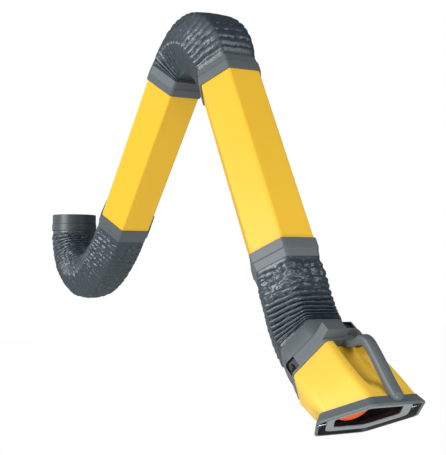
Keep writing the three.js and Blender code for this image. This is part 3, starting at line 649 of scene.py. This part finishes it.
def pleat(sizes, turn, row, tight, taut, rough, seed):
    """How far the fabric stands out at a turn round the hose and a place along its pleats, in mm.

    tight is how closely the pleats are pressed together there, 1 where the hose is straight. taut is 1
    where the pleats are drawn out nearly flat, so that the creases show. rough is how much the fabric
    is crinkled.
    """

    def uneven(scale, shift):
        across, along = scale
        place = Vector((across * math.cos(turn), across * math.sin(turn), along * row + shift))
        return noise.noise(place)

    crest = abs(math.sin(math.pi * (row + WANDER * uneven(WANDER_SCALE, seed)))) ** CREST_POWER
    dent = uneven(DENT_SCALE, seed)
    crease = 1 - 2 * abs(uneven(CREASE_SCALE, -seed))
    slack = 1 - CREST_SMOOTHS * crest * (1 - taut)
    depth = sizes.crinkle_height * rough * (1 + TAUT_CREASES * taut)
    fold = sizes.pleat_height * tight * (1 - TAUT_FLATTENS * taut) * (crest - CREST_ROOT)
    return (fold + depth * slack * (DENT * dent + CREASE * crease)) / MM


class ARM_OT_hoses(bpy.types.Operator):
    """Pleated hoses over the three hinges"""

    bl_idname = "arm.hoses"
    bl_label = "Hoses"

    rings_per_pleat = 10
    seed_step = 10.0

    def execute(self, context):
        sizes = context.scene.arm_sizes
        for index, (name, hose) in enumerate(HOSES.items()):
            self.build(sizes, name, hose, self.seed_step * index)
        return {"FINISHED"}

    def build(self, sizes, name, hose, seed):
        leans = [math.radians(lean) for lean in (hose.lean, hose.end_lean)]
        heads = [Vector((math.sin(lean), 0, math.cos(lean))) for lean in leans]
        first, last = (Vector((x, 0, z)) for x, z in (hose.start, hose.end))
        curve = (first, first + hose.pulls[0] * heads[0], last - hose.pulls[1] * heads[1], last)
        steps, length = even_steps(curve, hose.pleats * self.rings_per_pleat)
        count = len(steps) - 1
        turns = [2 * math.pi * step / sizes.hose_points for step in range(sizes.hose_points)]
        side = Vector((0, 1, 0))

        def ring(t, share, bulge):
            centre, heading = bezier(curve, t)
            across = side.cross(heading)
            blend = hose.hexagonal + (1 - hose.hexagonal) * share
            # The square sets the widest place well past the middle
            swell = hose.spread * math.sin(math.pi * share ** 2) / 2
            points = []
            for index, turn in enumerate(turns):
                reach = 1 + blend * (hexagon_reach(turn) - 1)
                radius = sizes.hose_root / MM / 2 * reach + swell * (1 - math.cos(turn)) + bulge(index)
                points.append(centre + radius * (math.cos(turn) * across + math.sin(turn) * side))
            return points

        bare = [ring(t, step / count, lambda index: 0) for step, t in enumerate(steps)]
        spacing = length / count
        rings = []
        for step, t in enumerate(steps):
            share = step / count
            ends = min(share, 1 - share) * length
            fade = smooth((ends - HOSE_CUFF / 2) / HOSE_CUFF)
            taut = smooth((hose.drawn - share) / DRAWN_FADE)
            row = hose.pleats * share ** hose.crowd
            before, after = max(step - 1, 0), min(step + 1, count)

            def stand(index):
                run = (bare[after][index] - bare[before][index]).length / (after - before)
                least, most = TIGHT_LIMITS
                tight = most if run * most < spacing else max(spacing / run, least)
                return fade * pleat(sizes, turns[index], row, tight, taut, hose.crinkle, seed)

            rings.append(ring(t, share, stand))
        inside = -HOSE_WALL - sizes.pleat_height / MM / 2
        bore = [ring(steps[step], step / count, lambda index: inside)
                for step in range(0, count + 1, self.rings_per_pleat)]
        for end in (0, -1):
            bore[end] = ring(steps[end], -end, lambda index: -HOSE_WALL)
        bm = bmesh.new()
        grow(bm, rings + bore[::-1], Matrix.Identity(4))
        obj = piece(f"{name}_pleated_hose", bm, "hose_fabric", f"{name}_hose", crease=60)
        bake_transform(obj)


class ARM_OT_tubes(bpy.types.Operator):
    """Hexagonal tubes with rounded corners"""

    bl_idname = "arm.tubes"
    bl_label = "Tubes"

    def execute(self, context):
        sizes = context.scene.arm_sizes
        flats, corner = sizes.tube_flats / MM, sizes.tube_corner / MM
        ends = (-COLLAR_GRIP, sizes.tube_length / MM + COLLAR_GRIP)
        outer = rounded_hexagon(flats, corner)
        inner = rounded_hexagon(flats - 2 * TUBE_WALL, corner - TUBE_WALL)
        rings = [at_height(outer, ends[0]), at_height(outer, ends[1]),
                 at_height(inner, ends[1]), at_height(inner, ends[0])]
        for name, (foot, lean, body, _) in TUBES.items():
            bm = bmesh.new()
            grow(bm, rings, tube_line(foot, lean))
            piece(f"{name}_enamelled_tube", bm, "yellow_enamel", f"{name}_tube", body=body)
        return {"FINISHED"}


class ARM_OT_collars(bpy.types.Operator):
    """Stepped collars on the tube ends"""

    bl_idname = "arm.collars"
    bl_label = "Tube collars"

    def execute(self, context):
        sizes = context.scene.arm_sizes
        for tube, (foot, lean, body, names) in TUBES.items():
            line = tube_line(foot, lean)
            near = line @ Matrix.Rotation(math.pi, 4, "Y")
            far = line @ Matrix.Translation((0, 0, sizes.tube_length))
            for name, place in zip(names, (near, far)):
                bm = bmesh.new()
                hex_shell(bm, COLLAR_PROFILE, sizes.tube_corner / MM, place)
                piece(f"{tube}_tube_{name}_moulded_collar", bm, "grey_plastic",
                      f"{tube}_tube_{name}_collar", body=body)
        return {"FINISHED"}


class ARM_OT_connection(bpy.types.Operator):
    """Round duct connection and the swivelling collar under it"""

    bl_idname = "arm.connection"
    bl_label = "Connection"

    def execute(self, context):
        for name, profile, node, body in (
                ("duct_connection", CONNECTION_PROFILE, "connection_spigot", "base"),
                ("swivel_collar", HOSE_COLLAR_PROFILE, "hose_collar", "swivel")):
            bm = bmesh.new()
            revolve(bm, profile)
            piece(name, bm, "dark_plastic", node, body=body)
        return {"FINISHED"}


class ARM_OT_cuff(bpy.types.Operator):
    """Convex cuff between the wrist hose and the neck ring"""

    bl_idname = "arm.cuff"
    bl_label = "Wrist cuff"

    def execute(self, context):
        rings = [self.ring(CUFF_SPIGOT[0], CUFF_SPIGOT_END, CUFF_SPIGOT_CORNER),
                 self.ring(CUFF_SPIGOT[0], CUFF_REAR, CUFF_SPIGOT_CORNER)]
        for step in range(CUFF_STEPS + 1):
            share = step / CUFF_STEPS
            flats = CUFF_REAR_FLATS + CUFF_SWELL * math.sin(share * math.pi / 2)
            z = CUFF_REAR + share * (CUFF_FRONT - CUFF_REAR)
            rings.append(self.ring(flats, z, CUFF_CORNER, share * REAR_SLIM))
        rings += [self.ring(JOURNAL[0], CUFF_FRONT, JOURNAL_CORNER),
                  self.ring(JOURNAL[0], JOURNAL_END, JOURNAL_CORNER),
                  self.ring(JOURNAL[1], JOURNAL_END, JOURNAL_CORNER),
                  self.ring(JOURNAL[1], CUFF_FRONT, JOURNAL_CORNER),
                  self.ring(CUFF_SPIGOT[1], CUFF_REAR, CUFF_SPIGOT_CORNER),
                  self.ring(CUFF_SPIGOT[1], CUFF_SPIGOT_END, CUFF_SPIGOT_CORNER)]
        bm = bmesh.new()
        grow(bm, rings, HOOD)
        piece("convex_wrist_cuff", bm, "grey_plastic", "wrist_cuff", body="hood_carrier")
        return {"FINISHED"}

    def ring(self, flats, z, corner, slim=0):
        return at_height(hood_outline(flats, corner=corner, slim=slim), z)


def hood_outline(flats, scoop=0, narrow=1, corner=HOOD_CORNER, flank=None, slim=0):
    """Hood outline with the front flat pressed in under the handle, and the rear slimmed by a share."""
    outline = rounded_hexagon(flats, corner, CORNER_STEPS, FRONT_POINTS, flank)
    first = 2 * (CORNER_STEPS + 1)
    shaped = []
    for index, (x, y) in enumerate(outline):
        step = index - first + 1
        if 0 < step < FRONT_POINTS:
            aside = abs(2 * step / FRONT_POINTS - 1)
            x += scoop * smooth((SCOOP_EDGE - aside) / SCOOP_WALL)
        shrink = 1 - slim * smooth((x - SLIM_START) / SLIM_LENGTH)
        shaped.append((x * shrink, y * narrow * shrink))
    return shaped


def hood_ring(t, inset):
    """Ring part of the way from the neck to the slanted mouth, in the hood's frame."""
    flats = NECK_FLATS + t * (SHELL_END - NECK_FLATS) - 2 * inset
    scoop = NECK_SCOOP + (SCOOP_DEPTH - NECK_SCOOP) * smooth(t / SCOOP_FADE)
    scoop *= smooth((SCOOP_STOP - t) / SCOOP_FADE)
    middle = math.sin(math.pi * t)
    narrow = 1 + t * (MOUTH_NARROW - 1) + FLANK_SWELL * middle
    ends = HOOD_CORNER + t * (MOUTH_FLANK - HOOD_CORNER)
    flank = ends + (FLANK_CORNER - ends) * middle
    outline = hood_outline(flats, scoop, narrow, flank=flank)
    mouth = [MOUTH_TILT @ point for point in at_height(outline, -FRAME_HEIGHT)]
    return [a.lerp(b, t) for a, b in zip(at_height(outline, 0), mouth)]


class ARM_OT_neck(bpy.types.Operator):
    """Neck ring with its block, pockets and latches"""

    bl_idname = "arm.neck"
    bl_label = "Neck ring"

    def execute(self, context):
        bm = bmesh.new()
        rings = [at_height(hood_outline(flats, slim=REAR_SLIM), z) for flats, z in NECK_RING_PROFILE]
        socket = hood_outline(NECK_SOCKET, NECK_SCOOP - SOCKET_GAP)
        bore = hood_outline(NECK_BORE, corner=JOURNAL_CORNER)
        rings += [at_height(socket, NECK_RING_PROFILE[-1][1]), at_height(socket, NECK_SHELF),
                  at_height(bore, NECK_SHELF), at_height(bore, NECK_RING_PROFILE[0][1])]
        grow(bm, rings, Matrix.Identity(4))
        (x0, y0, z0), (x1, y1, z1) = SIDE_POCKET
        press_pocket(bm, SIDE_POCKET, Vector((0, 1, 0)), SIDE_POCKET_DEPTH)
        press_pocket(bm, ((x0, -y1, z0), (x1, -y0, z1)), Vector((0, -1, 0)), SIDE_POCKET_DEPTH)
        self.block(bm)
        bmesh.ops.transform(bm, matrix=HOOD, verts=bm.verts)
        # The pockets' faces take the black finish as painted shade
        piece("moulded_neck_ring", bm, "grey_plastic", "neck_ring", body="hood", shade_finish="black_plastic")
        self.latches()
        return {"FINISHED"}

    def block(self, ring):
        """Adds the block on the ring's front, with the pocket in its top."""
        bm = bmesh.new()
        rear, front = BLOCK_SPAN
        foot = bm.faces.new([bm.verts.new(Vector((x, y, rear)) * MM) for x, y in BLOCK_OUTLINE])
        grown = bmesh.ops.extrude_face_region(bm, geom=[foot])["geom"]
        top = [item for item in grown if isinstance(item, bmesh.types.BMVert)]
        bmesh.ops.translate(bm, verts=top, vec=(0, 0, (front - rear) * MM))
        bmesh.ops.recalc_face_normals(bm, faces=bm.faces)
        press_pocket(bm, BLOCK_POCKET, Vector((-1, 0, 0)), BLOCK_POCKET_DEPTH)
        rim = [edge for edge in bm.edges if edge.calc_face_angle(0) > math.radians(20)]
        bmesh.ops.bevel(bm, geom=rim, offset=EDGE_BEVEL * MM, affect="EDGES", segments=2, profile=0.5,
                        material=-1)
        mesh = bpy.data.meshes.new("neck_block")
        bm.to_mesh(mesh)
        bm.free()
        ring.from_mesh(mesh)
        bpy.data.meshes.remove(mesh)

    def latches(self):
        """A small latch on the floor of each pocket."""
        for name, (middle, size) in LATCHES.items():
            bm = bmesh.new()
            bmesh.ops.create_cube(bm, size=MM)
            bmesh.ops.scale(bm, vec=size, verts=bm.verts)
            bmesh.ops.bevel(bm, geom=bm.edges[:], offset=EDGE_BEVEL * MM, affect="EDGES", segments=3,
                            profile=0.5, material=-1)
            bmesh.ops.translate(bm, verts=bm.verts, vec=Vector(middle) * MM)
            bmesh.ops.transform(bm, matrix=HOOD, verts=bm.verts)
            piece(f"{name}_neck_latch", bm, "black_plastic", f"neck_clip_{name}", body="hood")


class ARM_OT_hood(bpy.types.Operator):
    """Flared hood shell with its scoop and the damper's bosses"""

    bl_idname = "arm.hood"
    bl_label = "Hood shell"

    def execute(self, context):
        shares = [step / HOOD_STEPS for step in range(HOOD_STEPS + 1)]

        def lip(inset):
            outline = hood_outline(SHELL_END - 2 * inset, 0, MOUTH_NARROW, flank=MOUTH_FLANK)
            return [MOUTH_TILT @ point for point in at_height(outline, SHELL_LIP)]

        def spigot(flats, z):
            return at_height(hood_outline(flats, NECK_SCOOP), z)

        rings = [spigot(*at) for at in SPIGOT_OUTSIDE]
        rings += [hood_ring(t, 0) for t in shares]
        rings += [lip(0), lip(HOOD_WALL)]
        rings += [hood_ring(t, HOOD_WALL) for t in shares[::-1]]
        rings += [spigot(*at) for at in SPIGOT_INSIDE]
        bm = bmesh.new()
        grow(bm, rings, Matrix.Identity(4))
        bmesh.ops.recalc_face_normals(bm, faces=bm.faces)
        # The inside and the lip at the mouth get the dark finish: painted shade, for the deep shadow
        # inside the hood
        for face in bm.faces:
            x, y, _ = face.calc_center_median()
            inward = face.normal.dot(Vector((x, y, 0))) < 0
            face.material_index = int(inward or face.normal.dot(MOUTH_TILT.col[2].xyz) > 0.8)
        for near, far in BOSS_SPANS:
            place = Matrix.Translation((0, (near + far) / 2 * MM, DAMPER_DEPTH * MM))
            add_rod(bm, BOSS_RADIUS, far - near, place @ Matrix.Rotation(math.pi / 2, 4, "X"))
        bmesh.ops.transform(bm, matrix=HOOD, verts=bm.verts)
        piece("flared_hood_shell", bm, "yellow_plastic", "hood_shell", body="hood", shade_finish="dark_plastic")
        return {"FINISHED"}


class ARM_OT_disc(bpy.types.Operator):
    """Domed damper disc with the hub that its shaft runs through"""

    bl_idname = "arm.disc"
    bl_label = "Damper disc"

    def execute(self, context):
        bm = bmesh.new()
        revolve(bm, DISC_PROFILE)
        add_rod(bm, HUB_RADIUS, HUB_LENGTH, Matrix.Rotation(math.pi / 2, 4, "X"))
        place = HOOD @ Matrix.Translation((0, 0, DAMPER_DEPTH * MM))
        bmesh.ops.transform(bm, matrix=place, verts=bm.verts)
        piece("domed_damper_disc", bm, "orange_plastic", "damper_disc", body="damper")
        return {"FINISHED"}


class ARM_OT_mouth(bpy.types.Operator):
    """Bevelled frame round the mouth, the flange inside it and the posts that hold the flange"""

    bl_idname = "arm.mouth"
    bl_label = "Mouth"

    def execute(self, context):
        for name, profile, node, finish in (
                ("bevelled_mouth_frame", FRAME_PROFILE, "mouth_frame", "grey_plastic"),
                # The flange's paler grey is painted light
                ("slotted_inner_flange", FLANGE_PROFILE, "inner_flange", "painted_lit_grey")):
            bm = bmesh.new()
            rings = [at_height(hood_outline(flats, 0, MOUTH_NARROW, flank=MOUTH_FLANK), z)
                     for flats, z in profile]
            grow(bm, rings, Matrix.Identity(4))
            if name == "bevelled_mouth_frame":
                self.paint_slot_shade(bm)
            bmesh.ops.transform(bm, matrix=MOUTH, verts=bm.verts)
            piece(name, bm, "grey_plastic", node, body="hood", finish=finish, shade_finish="black_plastic")
        self.posts()
        return {"FINISHED"}

    def paint_slot_shade(self, bm):
        """Gives the frame's inner wall and shelf, which face the slot round the flange, the black finish:
        painted shade for the dark slot.
        """
        bmesh.ops.recalc_face_normals(bm, faces=bm.faces)
        for face in bm.faces:
            x, y, z = face.calc_center_median()
            inward = face.normal.dot(Vector((x, y, 0)).normalized()) < 0.1
            face.material_index = int(inward and z < -MM)

    def posts(self):
        """The rods that carry the flange, one to each side of the frame."""
        near, far = POST_SPAN
        bm = bmesh.new()
        for side in range(6):
            turn = Matrix.Rotation(math.radians(60 * side), 4, "Z")
            lay = Matrix.Translation(((near + far) / 2 * MM, 0, POST_DEPTH * MM))
            add_rod(bm, POST_RADIUS, far - near, turn @ lay @ Matrix.Rotation(math.pi / 2, 4, "Y"),
                    POST_SEGMENTS)
        bmesh.ops.scale(bm, vec=(1, MOUTH_NARROW, 1), verts=bm.verts)
        bmesh.ops.transform(bm, matrix=MOUTH, verts=bm.verts)
        piece("flange_posts", bm, "zinc_steel", "mouth_guard", body="hood")


def spline(points, t):
    """A point on a smooth curve through the points, t from 0 to 1."""
    spans = len(points) - 1
    at = min(int(t * spans), spans - 1)
    u = t * spans - at
    b, c = points[at], points[at + 1]
    a = points[at - 1] if at else 2 * b - c
    d = points[at + 2] if at + 2 <= spans else 2 * c - b
    return 0.5 * (2 * b + u * (c - a) + u * u * (2 * a - 5 * b + 4 * c - d)
                  + u ** 3 * (3 * b - a - 3 * c + d))


class ARM_OT_handle(bpy.types.Operator):
    """Moulded handle from the neck ring to the mouth frame"""

    bl_idname = "arm.handle"
    bl_label = "Handle"

    def execute(self, context):
        route = [Vector((-out, aside, z)) for out, aside, z in HANDLE_ROUTE]
        side = Vector((0, 1, 0))
        rings = []
        for step in range(HANDLE_STEPS + 1):
            t = step / HANDLE_STEPS
            centre = spline(route, t)
            heading = (spline(route, min(t + 0.01, 1)) - spline(route, max(t - 0.01, 0))).normalized()
            across = side.cross(heading)
            grip = smooth((t - GRIP_START) / GRIP_FADE)
            half = HANDLE_ARM + (HANDLE_GRIP - HANDLE_ARM) * grip
            square = ARM_SQUARE + (GRIP_SQUARE - ARM_SQUARE) * grip
            channel = HANDLE_CHANNEL * (1 - smooth((t - GRIP_START) / CHANNEL_FADE))
            rings.append(self.section(centre, across, side, (half, HANDLE_WIDE), square, channel))
        for step in range(1, CAP_STEPS + 1):
            angle = step / CAP_STEPS * CAP_TURN
            size = (half * math.cos(angle), HANDLE_WIDE * math.cos(angle))
            rings.append(self.section(centre + half * math.sin(angle) * heading, across, side, size,
                                      square, 0))
        bm = bmesh.new()
        grow(bm, rings, HOOD, close=False)
        piece("moulded_handle", bm, "grey_plastic", "handle", body="hood")
        return {"FINISHED"}

    def section(self, centre, across, side, size, square, channel):
        """A rounded section with a channel in the side that faces the hood."""
        half, wide = size
        points = []
        for step in range(HANDLE_POINTS):
            turn = 2 * math.pi * step / HANDLE_POINTS
            c, s = math.cos(turn), math.sin(turn)
            x = half * math.copysign(abs(c) ** (2 / square), c)
            y = wide * math.copysign(abs(s) ** (2 / square), s)
            if c > 0 and abs(y) < CHANNEL_WIDTH * wide:
                x -= channel
            points.append(centre + x * across + y * side)
        return points


class ARM_OT_stage(bpy.types.Operator):
    """Pale floor, soft light and the camera"""

    bl_idname = "arm.stage"
    bl_label = "Stage"

    target = Vector((1.155, 0, -0.0896))
    distance = 2.805
    azimuth = math.radians(61.25)
    elevation = math.radians(-2.5)
    lens = 80.85
    sensor = 36
    # The part hangs, so the floor lies far enough below it for every pose
    floor_drop = 1.2
    floor_size = 20
    floor_white = 0.985
    # What soft light gives, and what a reflection sees on the key's side and on the other
    soft_level = 0.36
    wall_levels = (1.8, 0.1)

    def execute(self, context):
        scene = context.scene
        scene.view_settings.view_transform = "Standard"
        self.floor(scene)
        self.sky(scene)
        self.camera(scene)
        for name, place, energy, size in (
                ("key_softbox", (0.9, -3.5, 0.6), 94, 1.8),
                ("fill_softbox", (3.6, 0.6, 1.2), 29, 1.6),
                ("mouth_softbox", (2.7, -0.45, -1.0), 9, 0.4)):
            self.softbox(scene, name, Vector(place), energy, size)
        return {"FINISHED"}

    def floor(self, scene):
        bm = bmesh.new()
        bmesh.ops.create_grid(bm, x_segments=1, y_segments=1, size=self.floor_size)
        height = CAD_BOX[0][2] - self.floor_drop
        bmesh.ops.translate(bm, verts=bm.verts, vec=(0, 0, height))
        mesh = bpy.data.meshes.new("floor")
        bm.to_mesh(mesh)
        bm.free()
        obj = bpy.data.objects.new("floor", mesh)
        scene.collection.objects.link(obj)
        material = bpy.data.materials.new("pale_floor")
        material.use_nodes = True
        tree = material.node_tree
        shader = tree.nodes["Principled BSDF"]
        shader.inputs["Base Color"].default_value = (*linear("#F4F4F2"), 1)
        shader.inputs["Roughness"].default_value = 0.8
        path = add_node(tree, "ShaderNodeLightPath")
        seen = add_node(tree, "ShaderNodeMath", {
            0: path.outputs["Is Camera Ray"], 1: self.floor_white}, operation="MULTIPLY")
        white = add_node(tree, "ShaderNodeEmission", {"Color": (1, 1, 1, 1), "Strength": 1.0})
        mix = add_node(tree, "ShaderNodeMixShader", {
            0: seen.outputs[0], 1: shader.outputs[0], 2: white.outputs[0]})
        tree.links.new(mix.outputs[0], tree.nodes["Material Output"].inputs["Surface"])
        mesh.materials.append(material)

    def sky(self, scene):
        world = bpy.data.worlds.new("studio")
        world.use_nodes = True
        scene.world = world
        tree = world.node_tree
        # Reflections see a bright studio wall low on the key's side and a dark one on the other
        place = add_node(tree, "ShaderNodeTexCoord")
        along = add_node(tree, "ShaderNodeSeparateXYZ", {"Vector": place.outputs["Generated"]})
        turn = add_node(tree, "ShaderNodeMath", {
            0: along.outputs["Z"], 1: 0.6, 2: along.outputs["Y"]}, operation="MULTIPLY_ADD")
        wall = add_node(tree, "ShaderNodeMapRange", {
            "Value": turn.outputs[0], "From Min": -1.0, "From Max": 0.4, "To Min": self.wall_levels[0],
            "To Max": self.wall_levels[1]})
        path = add_node(tree, "ShaderNodeLightPath")
        soft = add_node(tree, "ShaderNodeMix", {
            0: path.outputs["Is Glossy Ray"], 2: self.soft_level, 3: wall.outputs["Result"]})
        clear = add_node(tree, "ShaderNodeMath", {
            0: path.outputs["Is Camera Ray"], 1: path.outputs["Is Transmission Ray"]}, operation="MAXIMUM")
        level = add_node(tree, "ShaderNodeMix", {0: clear.outputs[0], 2: soft.outputs[0], 3: 1.0})
        sky = tree.nodes["Background"]
        sky.inputs["Color"].default_value = (1, 1, 1, 1)
        tree.links.new(level.outputs[0], sky.inputs["Strength"])

    def camera(self, scene):
        data = bpy.data.cameras.new("photo_camera")
        data.lens = self.lens
        data.sensor_width = self.sensor
        camera = bpy.data.objects.new("photo_camera", data)
        offset = Vector((math.sin(self.azimuth) * math.cos(self.elevation),
                         -math.cos(self.azimuth) * math.cos(self.elevation), math.sin(self.elevation)))
        camera.location = self.target + self.distance * offset
        camera.rotation_euler = (-offset).to_track_quat("-Z", "Y").to_euler()
        scene.collection.objects.link(camera)
        scene.camera = camera

    def softbox(self, scene, name, place, energy, size):
        data = bpy.data.lights.new(name, "AREA")
        data.energy = energy
        data.size = size
        lamp = bpy.data.objects.new(name, data)
        lamp.location = place
        lamp.rotation_euler = (self.target - place).to_track_quat("-Z", "Y").to_euler()
        scene.collection.objects.link(lamp)


OPERATORS = (
    ARM_OT_finishes, ARM_OT_stage, ARM_OT_hoses, ARM_OT_tubes, ARM_OT_collars, ARM_OT_connection,
    ARM_OT_cuff, ARM_OT_neck, ARM_OT_hood, ARM_OT_disc, ARM_OT_mouth, ARM_OT_handle,
)


class ARM_PT_pieces(bpy.types.Panel):
    """Lists the arm's pieces, sizes and colours"""

    bl_label = "Extraction Arm"
    bl_space_type = "VIEW_3D"
    bl_region_type = "UI"
    bl_category = "Arm"

    def draw(self, context):
        for operator in OPERATORS:
            self.layout.operator(operator.bl_idname)
        for group in (context.scene.arm_sizes, context.scene.arm_colours):
            for field in group.__annotations__:
                self.layout.prop(group, field)


CLASSES = (ArmSizes, ArmColours, *OPERATORS, ARM_PT_pieces)


def register():
    for cls in CLASSES:
        bpy.utils.register_class(cls)
    bpy.types.Scene.arm_sizes = PointerProperty(type=ArmSizes)
    bpy.types.Scene.arm_colours = PointerProperty(type=ArmColours)


def unregister():
    del bpy.types.Scene.arm_colours
    del bpy.types.Scene.arm_sizes
    for cls in reversed(CLASSES):
        bpy.utils.unregister_class(cls)


def main():
    register()
    for operator in OPERATORS:
        group, name = operator.bl_idname.split(".")
        getattr(getattr(bpy.ops, group), name)()


if __name__ == "__main__":
    main()
